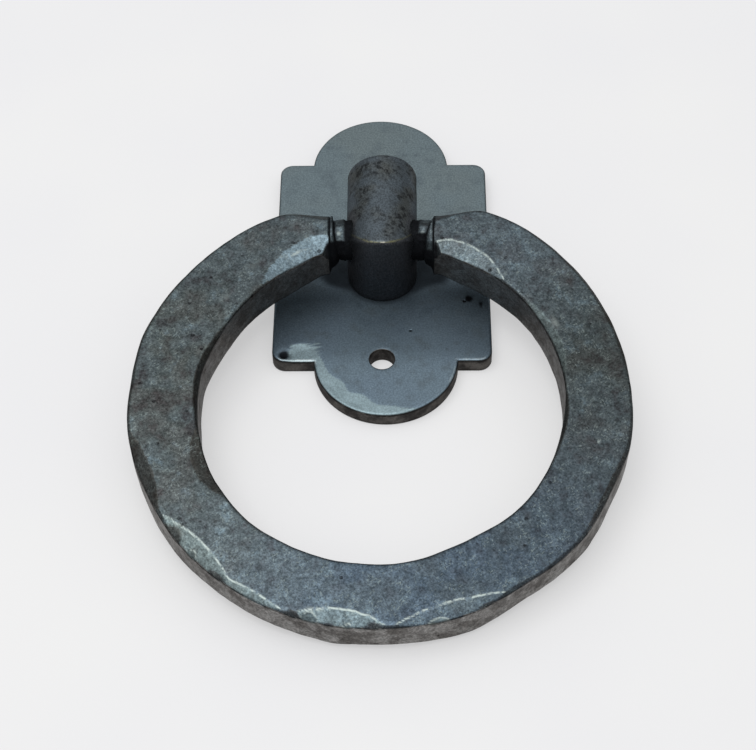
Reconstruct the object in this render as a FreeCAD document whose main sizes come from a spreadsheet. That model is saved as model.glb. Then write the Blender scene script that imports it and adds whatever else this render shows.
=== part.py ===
"""Forged ring door knocker, lying on its back.

The origin is the centre of the backplate's back face. +Z points out of the door, +Y to the top of
the plate and +X to its right. The ring hangs from a hole drilled across the corner of an L-shaped
post and its tip rests on the plane of the door, z = 0. Lengths are in millimetres.
"""
import FreeCAD, Part
import Sketcher

import os
import re

SIZES = {
    # Backplate: a flat bar with a round lobe at each end.
    "plate_width": 50.0,
    "plate_straight": 61.6,         # length of the rectangular middle
    "plate_thick": 4.0,
    "corner_radius": 3.0,
    "lobe_radius": 16.4,
    "lobe_inset": 1.2,              # lobe centre, measured in from the end of the rectangle
    "screw_spacing": 60.6,
    "screw_diameter": 5.6,
    # Post: round bar, a stem and a head mitred together.
    "bar_diameter": 16.0,
    "post_drop": 5.3,               # stem axis below the centre of the plate
    "pivot_height": 16.3,           # corner of the post and axis of the ring's necks
    "head_reach": 19.2,             # stem axis to the head's flat end
    "head_chamfer": 0.7,
    "tenon_diameter": 10.0,
    "rivet_flare": 1.2,             # how far the tenon is spread into the plate's countersink
    # Ring: bar forged to a bevelled rectangle and bent round, with a round neck at each end.
    "ring_bore": 80.3,
    "ring_bar_width": 13.7,
    "ring_bar_thick": 10.9,
    "ring_bevel": 2.2,
    "taper_start": 21.0,            # half the distance between the ends of the full section
    "neck_inset": 2.35,             # necks' axis inside the circle of the bar's centre line
    "neck_diameter": 9.0,
    "shoulder_width": 12.6,         # the bar's width where it ends in a shoulder
    "neck_reach": 6.5,              # how far a neck goes into the post
    "shoulder_gap": 3.0,
    "running_clearance": 0.08,      # radial, between neck and hole
}

# Lengths worked out from the sizes above, as expressions.
BAR_R = "(bar_diameter / 2)"
LOBE_Y = "(plate_straight / 2 - lobe_inset)"
PIVOT_HOLE = "(neck_diameter + 2 * running_clearance)"
RING_INNER_R = "(ring_bore / 2)"
RING_MID_R = "(ring_bore / 2 + ring_bar_width / 2)"
RING_OUTER_R = "(ring_bore / 2 + ring_bar_width)"
RING_DROP = f"({RING_MID_R} - neck_inset)"          # pivot to the ring's centre
TAPER_ANGLE = f"asin(taper_start / {RING_MID_R})"   # from the top of the ring to the taper
SHOULDER_X = f"({BAR_R} + shoulder_gap)"

# The ring leans back until the lower edge of its tip, just inside the bevel, meets the door.
TIP_REACH = f"({RING_DROP} + {RING_OUTER_R} - ring_bevel)"
TIP_DROP = "(ring_bar_thick / 2)"
RING_LEAN = (f"(asin(pivot_height / sqrt({TIP_REACH} ^ 2 + {TIP_DROP} ^ 2))"
             f" - atan({TIP_DROP} / {TIP_REACH}))")

X_AXIS = FreeCAD.Vector(1, 0, 0)
Y_AXIS = FreeCAD.Vector(0, 1, 0)
SKETCH_ORIGIN = (-1, 1)
SKETCH_X_AXIS = -1
SKETCH_Y_AXIS = -2

document = FreeCAD.newDocument("door_knocker")


def fill_sheet():
    """Puts every driving size in a spreadsheet, one named cell each."""
    sheet = document.addObject("Spreadsheet::Sheet", "Sizes")
    for row, (alias, size) in enumerate(SIZES.items(), start=1):
        sheet.set(f"A{row}", alias)
        sheet.set(f"B{row}", str(size))
        sheet.setAlias(f"B{row}", alias)
    document.recompute()
    return sheet


def cells(expression):
    """The expression with each size's name pointing at its cell."""
    return re.sub(r"[a-z_]+", lambda word: f"Sizes.{word[0]}" if word[0] in SIZES else word[0],
                  expression)


def number(expression):
    """What the expression comes to now, for a sketch's first geometry."""
    return float(sheet.evalExpression(cells(expression)))


def bind(target, prop, expression):
    """Ties a property to the sheet."""
    target.setExpression(prop, cells(expression))


def new_body(name, y="0", z="0"):
    """A body that stands at height z and distance y up the plate."""
    body = document.addObject("PartDesign::Body", name)
    body.Label = name
    bind(body, "Placement.Base.y", y)
    bind(body, "Placement.Base.z", z)
    return body


def origin_plane(body, role):
    """One of the body's own origin planes."""
    return next(plane for plane in body.Origin.OriginFeatures if plane.Role == role)


def new_sketch(body, name, role):
    """A sketch on one of the body's origin planes."""
    sketch = body.newObject("Sketcher::SketchObject", name)
    sketch.AttachmentSupport = [(origin_plane(body, role), "")]
    sketch.MapMode = "FlatFace"
    return sketch


def pin(sketch, geometry, point, x, y):
    """Ties a point of the sketch to coordinates from the sheet."""
    for kind, coordinate, axis in (("DistanceX", x, SKETCH_Y_AXIS), ("DistanceY", y, SKETCH_X_AXIS)):
        if coordinate == "0":
            sketch.addConstraint(Sketcher.Constraint("PointOnObject", geometry, point, axis))
            continue
        constraint = Sketcher.Constraint(kind, *SKETCH_ORIGIN, geometry, point, number(coordinate))
        index = sketch.addConstraint(constraint)
        bind(sketch, f"Constraints[{index}]", coordinate)


def add_circle(sketch, diameter, x="0", y="0"):
    """A circle of bound diameter about a bound centre."""
    centre = FreeCAD.Vector(number(x), number(y), 0)
    circle = Part.Circle(centre, FreeCAD.Vector(0, 0, 1), number(diameter) / 2)
    geometry = sketch.addGeometry(circle, False)
    index = sketch.addConstraint(Sketcher.Constraint("Diameter", geometry, number(diameter)))
    bind(sketch, f"Constraints[{index}]", diameter)
    pin(sketch, geometry, 3, x, y)


def add_polygon(sketch, corners):
    """A closed outline of straight lines whose corners have bound coordinates."""
    points = [FreeCAD.Vector(number(x), number(y), 0) for x, y in corners]
    first = sketch.GeometryCount
    for index, point in enumerate(points):
        following = points[(index + 1) % len(points)]
        sketch.addGeometry(Part.LineSegment(point, following), False)
    for index, (x, y) in enumerate(corners):
        following = (index + 1) % len(corners)
        sketch.addConstraint(Sketcher.Constraint("Coincident", first + index, 2, first + following, 1))
        pin(sketch, first + index, 1, x, y)


def add_bevelled_bar(sketch, middle, width, height, bevel):
    """The section of a flat bar with bevelled corners, its middle at (middle, 0)."""
    left = f"({middle} - {width} / 2)"
    right = f"({middle} + {width} / 2)"
    top = f"({height} / 2)"
    add_polygon(sketch, [
        (f"({left} + {bevel})", f"(-{top})"),
        (f"({right} - {bevel})", f"(-{top})"),
        (right, f"({bevel} - {top})"),
        (right, f"({top} - {bevel})"),
        (f"({right} - {bevel})", top),
        (f"({left} + {bevel})", top),
        (left, f"({top} - {bevel})"),
        (left, f"({bevel} - {top})"),
    ])


def pad(body, name, sketch, length, back="0"):
    """Pads the sketch by length along its normal and by back the other way."""
    feature = body.newObject("PartDesign::Pad", name)
    feature.Profile = sketch
    bind(feature, "Length", length)
    if back != "0":
        feature.SideType = "Two sides"
        bind(feature, "Length2", back)
    document.recompute()
    return feature


def pocket_through(body, name, sketch):
    """Cuts the sketch right through the body, both ways, and checks that it cut something."""
    before = body.Shape.Volume
    feature = body.newObject("PartDesign::Pocket", name)
    feature.Profile = sketch
    feature.SideType = "Symmetric"
    feature.Type = "ThroughAll"
    document.recompute()
    if not body.Shape.Volume < before:
        raise RuntimeError(f"{name} cuts nothing")
    return feature


def edges_of(feature, wanted):
    """Names of the feature's edges that the test wants."""
    return [f"Edge{index}" for index, edge in enumerate(feature.Shape.Edges, start=1) if wanted(edge)]


def dress(body, kind, name, feature, wanted, prop, expression):
    """A fillet or chamfer on the wanted edges of a feature."""
    dressing = body.newObject(kind, name)
    dressing.Base = (feature, edges_of(feature, wanted))
    bind(dressing, prop, expression)
    document.recompute()
    return dressing


def is_upright(edge):
    """Whether a straight edge runs along Z."""
    start, end = edge.Vertexes[0].Point, edge.Vertexes[-1].Point
    return abs(start.x - end.x) + abs(start.y - end.y) < 1e-6 < abs(start.z - end.z)


def is_circle_at(radius, axis, position):
    """A test for full circles of one radius whose centre lies at position along axis."""
    def wanted(edge):
        curve = edge.Curve
        return (isinstance(curve, Part.Circle) and edge.isClosed()
                and abs(curve.Radius - radius) < 1e-6 and abs(curve.Center.dot(axis) - position) < 1e-6)
    return wanted


def make_backplate():
    """Flat bar with rounded corners and a lobe at each end, drilled for two screws and the stem."""
    body = new_body("backplate")
    outline = new_sketch(body, "plate_outline", "XY_Plane")
    half_width, half_length = "(plate_width / 2)", "(plate_straight / 2)"
    add_polygon(outline, [
        (f"(-{half_width})", f"(-{half_length})"),
        (half_width, f"(-{half_length})"),
        (half_width, half_length),
        (f"(-{half_width})", half_length),
    ])
    middle = pad(body, "plate_middle", outline, "plate_thick")
    dress(body, "PartDesign::Fillet", "plate_corners", middle, is_upright, "Radius", "corner_radius")
    for end, sign in (("upper", ""), ("lower", "-")):
        lobe = new_sketch(body, f"{end}_lobe_outline", "XY_Plane")
        add_circle(lobe, "2 * lobe_radius", y=f"({sign}{LOBE_Y})")
        pad(body, f"{end}_lobe", lobe, "plate_thick")
    drilling = new_sketch(body, "screw_hole_centres", "XY_Plane")
    for sign in ("", "-"):
        add_circle(drilling, "screw_diameter", y=f"({sign}screw_spacing / 2)")
    pocket_through(body, "screw_holes", drilling)
    seat = new_sketch(body, "tenon_hole_centre", "XY_Plane")
    add_circle(seat, "tenon_diameter", y="(-post_drop)")
    hole = pocket_through(body, "tenon_hole", seat)
    back_rim = is_circle_at(number("tenon_diameter / 2"), FreeCAD.Vector(0, 0, 1), 0)
    dress(body, "PartDesign::Chamfer", "rivet_countersink", hole, back_rim, "Size", "rivet_flare")
    return body


def drill_pivot(body, height="0"):
    """The hole for the ring's necks, along X at the given height in the body."""
    centre = new_sketch(body, f"{body.Name}_pivot_centre", "YZ_Plane")
    add_circle(centre, PIVOT_HOLE, y=height)
    pocket_through(body, f"{body.Name}_pivot_hole", centre)


def make_stem():
    """Round bar shouldered to a tenon, riveted at the back and mitred at the top."""
    body = new_body("stem", y="-post_drop")
    profile = new_sketch(body, "stem_profile", "XZ_Plane")
    tenon_r = "(tenon_diameter / 2)"
    add_polygon(profile, [
        ("0", "0"),
        (f"({tenon_r} + rivet_flare)", "0"),
        (tenon_r, "rivet_flare"),
        (tenon_r, "plate_thick"),
        (BAR_R, "plate_thick"),
        (BAR_R, f"(pivot_height + {BAR_R})"),
        ("0", f"(pivot_height + {BAR_R})"),
    ])
    turned = body.newObject("PartDesign::Revolution", "stem_bar")
    turned.Profile = profile
    turned.ReferenceAxis = (profile, ["V_Axis"])
    turned.Angle = 360
    document.recompute()
    mitre = new_sketch(body, "stem_mitre_line", "YZ_Plane")
    add_polygon(mitre, [
        ("(-bar_diameter)", "(pivot_height + bar_diameter)"),
        ("bar_diameter", "(pivot_height - bar_diameter)"),
        ("bar_diameter", "(pivot_height + bar_diameter)"),
    ])
    pocket_through(body, "stem_mitre", mitre)
    drill_pivot(body, "pivot_height")
    return body


def make_head():
    """Short round bar mitred to the stem, reaching up the plate to a chamfered flat end."""
    body = new_body("head", y="-post_drop", z="pivot_height")
    section = new_sketch(body, "head_section", "XZ_Plane")
    add_circle(section, "bar_diameter")
    bar = pad(body, "head_bar", section, BAR_R, back="head_reach")
    far_rim = is_circle_at(number(BAR_R), Y_AXIS, number("head_reach"))
    dress(body, "PartDesign::Chamfer", "head_end", bar, far_rim, "Size", "head_chamfer")
    mitre = new_sketch(body, "head_mitre_line", "YZ_Plane")
    add_polygon(mitre, [
        ("(-bar_diameter)", "bar_diameter"),
        ("bar_diameter", "(-bar_diameter)"),
        ("(-bar_diameter)", "(-bar_diameter)"),
    ])
    pocket_through(body, "head_mitre", mitre)
    drill_pivot(body)
    return body


def make_ring_end(body):
    """The taper from the full section to the right-hand shoulder, and its neck."""
    full = new_sketch(body, "taper_section", "YZ_Plane")
    full.AttachmentOffset = FreeCAD.Placement(FreeCAD.Vector(), FreeCAD.Rotation(Y_AXIS, 1))
    bind(full, "AttachmentOffset.Rotation.Angle", f"(-{TAPER_ANGLE})")
    bind(full, "AttachmentOffset.Base.x", f"({RING_MID_R} * cos({TAPER_ANGLE}) - {RING_DROP})")
    bind(full, "AttachmentOffset.Base.z", "taper_start")
    add_bevelled_bar(full, "0", "ring_bar_width", "ring_bar_thick", "ring_bevel")
    shoulder = new_sketch(body, "shoulder_section", "YZ_Plane")
    bind(shoulder, "AttachmentOffset.Base.z", SHOULDER_X)
    add_bevelled_bar(shoulder, "0", "shoulder_width", "ring_bar_thick", "ring_bevel")
    taper = body.newObject("PartDesign::AdditiveLoft", "taper")
    taper.Profile = full
    taper.Sections = [shoulder]
    taper.Ruled = True
    document.recompute()
    circle = new_sketch(body, "neck_section", "YZ_Plane")
    bind(circle, "AttachmentOffset.Base.z", f"({BAR_R} - neck_reach)")
    add_circle(circle, "neck_diameter")
    neck = pad(body, "neck", circle, "(neck_reach + shoulder_gap)")
    return [taper, neck]


def make_ring():
    """Bar bent to most of a circle, its ends tapered to round necks that point at each other."""
    body = new_body("ring", y="-post_drop", z="pivot_height")
    body.Placement.Rotation = FreeCAD.Rotation(X_AXIS, 1)
    bind(body, "Placement.Rotation.Angle", RING_LEAN)
    section = new_sketch(body, "ring_section", "YZ_Plane")
    add_bevelled_bar(section, f"(-{RING_DROP} - {RING_MID_R})", "ring_bar_width", "ring_bar_thick",
                     "ring_bevel")
    centre_y = number(f"(-{RING_DROP})")
    line = Part.LineSegment(FreeCAD.Vector(centre_y, -1, 0), FreeCAD.Vector(centre_y, 1, 0))
    axis = sketch_axis(section, line)
    bent = body.newObject("PartDesign::Revolution", "ring_bar")
    bent.Profile = section
    bent.ReferenceAxis = (section, [axis])
    bent.Midplane = True
    bind(bent, "Angle", f"(360 deg - 2 * {TAPER_ANGLE})")
    document.recompute()
    right_end = make_ring_end(body)
    mirrored = body.newObject("PartDesign::Mirrored", "left_end")
    mirrored.Originals = right_end
    mirrored.MirrorPlane = (origin_plane(body, "YZ_Plane"), [""])
    body.Tip = mirrored
    document.recompute()
    return body


def sketch_axis(sketch, line):
    """Adds an upright construction line at the ring's centre for the bar to be bent about."""
    geometry = sketch.addGeometry(line, True)
    pin(sketch, geometry, 1, f"(-{RING_DROP})", "(-ring_bar_thick)")
    pin(sketch, geometry, 2, f"(-{RING_DROP})", "ring_bar_thick")
    return "Axis0"


def check(bodies):
    """Stops if any feature failed or any piece is not one sound solid."""
    for item in document.Objects:
        if "Invalid" in item.State or "Error" in item.State:
            raise RuntimeError(f"{item.Name} failed: {item.State}")
    for body in bodies:
        shape = body.Shape
        if shape.isNull() or not shape.isValid() or len(shape.Solids) != 1:
            raise RuntimeError(f"{body.Label} is not one sound solid")


def export(bodies):
    """Writes each piece to its own file and says how big it is."""
    os.makedirs("parts", exist_ok=True)
    for body in bodies:
        body.Shape.exportStep(f"parts/{body.Label}.step")
        box = body.Shape.BoundBox
        print(f"{body.Label}: {box.XLength:.2f} x {box.YLength:.2f} x {box.ZLength:.2f}, "
              f"z from {box.ZMin:.3f}, volume {body.Shape.Volume:.0f}")


sheet = fill_sheet()
pieces = [make_backplate(), make_stem(), make_head(), make_ring()]
document.recompute()
check(pieces)
export(pieces)
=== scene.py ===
"""The looks of a forged ring door knocker, lying on its back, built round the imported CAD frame.

The origin is the centre of the backplate's back face. +Z points out of the door, +Y to the top of
the plate, +X to its right. Lengths here are in millimetres until they become mesh points.
"""
import math

import bmesh
import bpy
from mathutils import Matrix, Vector, geometry, noise


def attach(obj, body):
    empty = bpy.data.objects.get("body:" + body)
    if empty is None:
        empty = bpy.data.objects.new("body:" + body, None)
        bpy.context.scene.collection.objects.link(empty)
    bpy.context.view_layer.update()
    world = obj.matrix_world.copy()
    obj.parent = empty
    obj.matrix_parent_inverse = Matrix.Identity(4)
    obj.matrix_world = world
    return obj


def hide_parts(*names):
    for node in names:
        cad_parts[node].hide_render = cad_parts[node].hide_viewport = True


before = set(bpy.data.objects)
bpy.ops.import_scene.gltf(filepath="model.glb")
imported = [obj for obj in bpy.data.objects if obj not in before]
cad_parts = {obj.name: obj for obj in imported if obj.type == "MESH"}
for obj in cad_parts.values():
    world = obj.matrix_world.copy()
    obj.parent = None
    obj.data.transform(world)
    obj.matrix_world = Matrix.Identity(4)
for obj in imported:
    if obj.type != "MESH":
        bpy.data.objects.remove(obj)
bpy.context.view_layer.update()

MM = 0.001

# Backplate, as in the CAD.
PLATE_HALF_WIDTH = 25.0
PLATE_HALF_STRAIGHT = 30.8
PLATE_THICK = 4.0
CORNER_RADIUS = 3.0
LOBE_RADIUS = 16.4
LOBE_Y = 29.6
SCREW_Y = 30.3
SCREW_RADIUS = 2.8

# Post, as in the CAD.
BAR_RADIUS = 8.0
POST_Y = -5.3
PIVOT_Z = 16.3
HEAD_END_Y = 14.2
TENON_RADIUS = 5.0
RIVET_RADIUS = 6.2
RIVET_DEPTH = 1.2
PIVOT_HOLE_RADIUS = 4.58

# Ring, as in the CAD.
RING_MID = 47.0
RING_DROP = 44.65
RING_OUTER = 53.85
RING_HALF_THICK = 5.45
RING_BEVEL = 2.2
SHOULDER_X = 12.0
SHOULDER_OUTER = 5.6
SHOULDER_INNER = 6.9
TIP_REACH = RING_DROP + RING_OUTER - RING_BEVEL
RING_LEAN = (math.asin(PIVOT_Z / math.hypot(TIP_REACH, RING_HALF_THICK))
             - math.atan2(RING_HALF_THICK, TIP_REACH))

# ---------------------------------------------------------------- small helpers


def linear(code):
    """A #rrggbb colour as the linear RGBA that shaders take."""
    channels = [int(code[i:i + 2], 16) / 255 for i in (1, 3, 5)]
    return tuple(c / 12.92 if c <= 0.04045 else ((c + 0.055) / 1.055) ** 2.4
                 for c in channels) + (1.0,)


def clamp(value, low=0.0, high=1.0):
    return max(low, min(high, value))


def smooth_step(value):
    value = clamp(value)
    return value * value * (3 - 2 * value)


def mix(a, b, share):
    return a + (b - a) * share


def along(knots, x):
    """The value at x on the straight runs between (x, value) knots."""
    if x <= knots[0][0]:
        return knots[0][1]
    for (x0, v0), (x1, v1) in zip(knots, knots[1:]):
        if x <= x1:
            return mix(v0, v1, (x - x0) / (x1 - x0))
    return knots[-1][1]


def eased(knots, x, reach):
    """The same runs with their corners softened over the given reach."""
    return sum(along(knots, x + step * reach) for step in (-1, -0.5, 0, 0.5, 1)) / 5


def lumps(point, size, seed=0.0):
    """Smooth noise between about -1 and 1, with lumps of the given size."""
    return noise.noise(Vector(point) / size + Vector((seed, -seed, 2 * seed)))


def make_piece(name, points, faces, marks=None, sharp=None):
    """A smooth-shaded mesh object from points in millimetres, with a number per point per mark."""
    mesh = bpy.data.meshes.new(name)
    mesh.from_pydata([Vector(point) * MM for point in points], [], faces)
    for mark, values in (marks or {}).items():
        mesh.attributes.new(mark, "FLOAT", "POINT").data.foreach_set("value", values)
    work = bmesh.new()
    work.from_mesh(mesh)
    bmesh.ops.remove_doubles(work, verts=work.verts, dist=1e-6)
    bmesh.ops.recalc_face_normals(work, faces=work.faces)
    work.to_mesh(mesh)
    work.free()
    mesh.shade_smooth()
    if sharp:
        mesh.set_sharp_from_angle(angle=math.radians(sharp))
    piece = bpy.data.objects.new(name, mesh)
    bpy.context.scene.collection.objects.link(piece)
    return piece


def skin(rings, closed=True):
    """Quads between neighbouring rings of points, as one list of points and one of faces."""
    points = [point for ring in rings for point in ring]
    count = len(rings[0])
    last = count if closed else count - 1
    faces = []
    for row in range(len(rings) - 1):
        for i in range(last):
            j = (i + 1) % count
            faces.append((row * count + i, row * count + j,
                          (row + 1) * count + j, (row + 1) * count + i))
    return points, faces


# ---------------------------------------------------------------- materials


FACTOR, COLOUR_A, COLOUR_B, COLOUR_OUT = 0, 6, 7, 2


def node(tree, kind, inputs, output=0, **settings):
    """Adds a node with its settings and links, and gives back one of its outputs.

    The inputs are plain values or other nodes' outputs, by the name or number of their socket.
    """
    made = tree.nodes.new("ShaderNode" + kind)
    for name, value in settings.items():
        setattr(made, name, value)
    for name, value in inputs.items():
        if isinstance(value, bpy.types.NodeSocket):
            tree.links.new(value, made.inputs[name])
        else:
            made.inputs[name].default_value = value
    return made.outputs[output]


def start_material(name, grains, marks=()):
    """A material, its place in millimetres, and a value for each grain and each mark on the piece.

    A grain is smooth noise: the width of its lumps in millimetres, its detail and its roughness.
    The place stays on the piece when the piece moves.
    """
    material = bpy.data.materials.new(name)
    material.use_nodes = True
    tree = material.node_tree
    metres = node(tree, "TexCoord", {}, "Object")
    place = node(tree, "VectorMath", {"Vector": metres, "Scale": 1 / MM}, operation="SCALE")
    look = {}
    for seed, (grain, (size, detail, rough)) in enumerate(grains.items()):
        look[grain] = node(tree, "TexNoise", {"Vector": place, "W": 3.0 * seed, "Scale": 1 / size,
                                              "Detail": detail, "Roughness": rough},
                           noise_dimensions="4D")
    for mark in marks:
        look[mark] = node(tree, "Attribute", {}, "Fac", attribute_name=mark)
    return material, tree, place, look


def where(tree, limits, strength=1.0):
    """How far each value has come from its start to its full mark, all multiplied together."""
    share = strength
    for value, start, full in limits:
        ramp = node(tree, "MapRange", {"Value": value, "From Min": start, "From Max": full},
                    interpolation_type="SMOOTHSTEP")
        share = node(tree, "Math", {0: share, 1: ramp}, operation="MULTIPLY")
    return share


def lay(tree, colour, layers):
    """Lays colours over a colour: each its hex code, its strength and the limits of its place."""
    for code, strength, *limits in layers:
        share = where(tree, limits, strength)
        colour = node(tree, "Mix", {FACTOR: share, COLOUR_A: colour, COLOUR_B: linear(code)},
                      COLOUR_OUT, data_type="RGBA")
    return colour


def mottled(tree, colour, grain, first, last):
    """The colour made lighter or darker, from first to last, as the grain rises."""
    factor = node(tree, "MapRange", {"Value": grain, "From Min": 0.3, "From Max": 0.7,
                                     "To Min": first, "To Max": last},
                  interpolation_type="SMOOTHSTEP")
    return node(tree, "VectorMath", {"Vector": colour, "Scale": factor}, operation="SCALE")


def scuffs(tree, place, marks):
    """Thin marks: each set's direction in degrees, length and width in mm, and how rare it is."""
    total = 0.0
    for angle, length, width, rare in marks:
        turned = node(tree, "Mapping", {"Vector": place, "Rotation": (0.3, 0.2, math.radians(angle)),
                                        "Scale": (length, width, width)}, vector_type="TEXTURE")
        noise_value = node(tree, "TexNoise", {"Vector": turned, "W": float(angle), "Scale": 1.0,
                                              "Detail": 1.0, "Roughness": 0.5},
                           noise_dimensions="4D")
        scratch = where(tree, [(noise_value, rare, rare + 0.07)])
        total = node(tree, "Math", {0: total, 1: scratch}, operation="ADD")
    return total


def finish_steel(material, colour, rough, heights, relief):
    """Ends a steel: full metal, its roughness, and a bump from weighted heights, relief in mm."""
    tree = material.node_tree
    shader = tree.nodes["Principled BSDF"]
    height = 0.0
    for value, weight in heights:
        height = node(tree, "Math", {0: value, 1: weight, 2: height}, operation="MULTIPLY_ADD")
    normal = node(tree, "Bump", {"Height": height, "Strength": 1.0, "Distance": relief * MM})
    tree.links.new(colour, shader.inputs["Base Color"])
    tree.links.new(rough, shader.inputs["Roughness"])
    tree.links.new(normal, shader.inputs["Normal"])
    shader.inputs["Metallic"].default_value = 1.0
    shader.inputs["Specular Tint"].default_value = (0.55, 0.55, 0.55, 1.0)
    return material


def satin(tree, grain, smooth, dull, soot, sooty):
    """Roughness that follows a grain from smooth to dull, and goes up by sooty where soot and painted
    shade lie.
    """
    rough = node(tree, "MapRange", {"Value": grain, "From Min": 0.3, "From Max": 0.7,
                                    "To Min": smooth, "To Max": dull})
    return node(tree, "Math", {0: soot, 1: sooty, 2: rough}, operation="MULTIPLY_ADD")


def forged_ring_steel():
    """Mild steel, hammer-forged and oiled: dark blue-grey scale with olive and brown clouds.

    The eye sees a satin skin, dark in the pits and pale where the scale was knocked off the ridges, a
    painted highlight on top of each neck, and painted shade mixed with soot under the necks and bar
    ends and in the folds.
    """
    # Real scale grains are about 0.1 mm; 0.4 mm is the finest that shows at this distance.
    material, tree, place, look = start_material(
        "mild_steel_hammer_forged_oiled",
        {"cloud": (9.0, 3.0, 0.55), "patch": (3.6, 5.0, 0.68), "mottle": (1.5, 4.0, 0.7),
         "speckle": (0.4, 2.0, 0.6)}, RING_MARKS)
    cloud, patch, mottle, speckle = (look[n] for n in ("cloud", "patch", "mottle", "speckle"))
    colour = lay(tree, linear("#454a46"), [
        ("#404c57", 1.0, (look["blue"], 0.0, 1.0)),
        ("#444c50", 0.55, (cloud, 0.42, 0.6)),
        ("#2d2a2c", 0.75, (patch, 0.5, 0.66), (look["blue"], 1.6, 0.1)),
        ("#5a6971", 0.6, (patch, 0.46, 0.3)),
        ("#3f3a38", 0.3, (cloud, 0.52, 0.38), (look["blue"], 1.2, 0.2))])
    colour = node(tree, "VectorMath", {"Vector": colour, "Scale": look["shade"]},
                  operation="SCALE")
    colour = lay(tree, colour, [
        ("#5f6b69", 0.4, (look["facet"], 0.0, 1.0)),
        ("#6d7f89", 0.55, (look["soft"], 0.0, 1.0)),
        ("#3a3732", 0.55, (look["dull"], 0.0, 1.0)),
        ("#6d6c6b", 1.0, (look["wall"], 0.0, 1.0)),
        # painted light: the outer wall is painted lighter than the inner wall
        ("#8f8d8b", 1.0, (look["flank"], 0.0, 1.0)),
        ("#54514e", 0.8, (look["wall"], 0.0, 1.0), (patch, 0.4, 0.62))])
    colour = mottled(tree, colour, mottle, 1.2, 0.8)
    colour = mottled(tree, colour, speckle, 0.62, 1.38)
    cells = node(tree, "TexVoronoi", {"Vector": place, "Scale": 1 / 3.2}, feature="F1")
    pits = where(tree, [(cells, 0.17, 0.07), (patch, 0.44, 0.58)])
    scuffed = scuffs(tree, place, [(35, 1.3, 0.3, 0.6), (110, 1.1, 0.28, 0.61)])
    colour = lay(tree, colour, [
        ("#161517", 0.7, (pits, 0.0, 1.0)),
        ("#87928f", 0.34, (scuffed, 0.0, 1.0), (patch, 0.56, 0.42)),
        # pale wear, and the painted highlight on top of each neck
        ("#a0aaa7", 0.85, (look["ridge"], 0.1, 1.0), (mottle, 0.4, 0.56)),
        ("#1c1b1a", 0.75, (look["rim"], 0.0, 1.0)),
        # soot and painted shade under the necks and bar ends and in the folds
        ("#151518", 0.93, (look["soot"], 0.0, 1.0))])
    rough = satin(tree, mottle, 0.38, 0.55, look["soot"], 0.35)
    heights = [(patch, 0.9), (mottle, 0.45), (speckle, 0.2), (pits, -0.9)]
    return finish_steel(material, colour, rough, heights, 0.13)


def rolled_plate_steel():
    """Mild steel flat bar, hot rolled and blued: an even blue-grey skin with a fine tooth.

    The eye sees a soft sheen that mirrors the ring and the post dimly, and dark sheared edges, with
    painted shade round the foot of the post, under the necks and in a band under the ring, and a
    painted highlight, partly wear, along the lower rounded edge.
    """
    # Rolled scale has a tooth of about 0.1 mm; drawn at 0.4 mm so that it shows.
    material, tree, place, look = start_material(
        "mild_steel_hot_rolled_blued",
        {"broad": (16.0, 2.0, 0.5), "patches": (3.5, 3.0, 0.6), "tooth": (0.4, 2.0, 0.6)},
        PLATE_MARKS)
    broad, patches, tooth = look["broad"], look["patches"], look["tooth"]
    scratched = scuffs(tree, place, [(160, 2.5, 0.2, 0.7), (75, 2.0, 0.2, 0.72)])
    colour = lay(tree, linear("#677275"), [
        ("#63727e", 1.0, (look["blue"], 0.0, 1.0)),
        ("#64737b", 0.4, (broad, 0.35, 0.65)),
        ("#566066", 0.6, (patches, 0.48, 0.7)),
        ("#76868b", 0.95, (look["facet"], 0.0, 1.0)),
        ("#93a3a9", 0.35, (scratched, 0.0, 1.0)),
        # wear and a painted highlight along the lower rounded edge
        ("#a7b2b5", 0.8, (look["worn"], 0.0, 1.0), (patches, 0.35, 0.55)),
        ("#5f5c59", 1.0, (look["wall"], 0.0, 1.0)),
        ("#393736", 1.0, (look["wall"], 0.0, 1.0), (patches, 0.35, 0.65))])
    colour = mottled(tree, colour, tooth, 0.8, 1.2)
    # Painted shade: the shade mark darkens a band of the plate under the ring.
    colour = node(tree, "VectorMath", {"Vector": colour, "Scale": look["shade"]},
                  operation="SCALE")
    colour = lay(tree, colour, [
        ("#1f1d1c", 0.8, (look["rim"], 0.0, 1.0)),
        # soot and painted shade round the foot of the post and under the necks
        ("#2a2f35", 0.85, (look["soot"], 0.0, 1.0)),
        ("#101012", 0.95, (look["pit"], 0.0, 0.8))])
    rough = satin(tree, patches, 0.44, 0.56, look["soot"], 0.2)
    return finish_steel(material, colour, rough, [(patches, 0.5), (tooth, 0.2)], 0.05)


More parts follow.
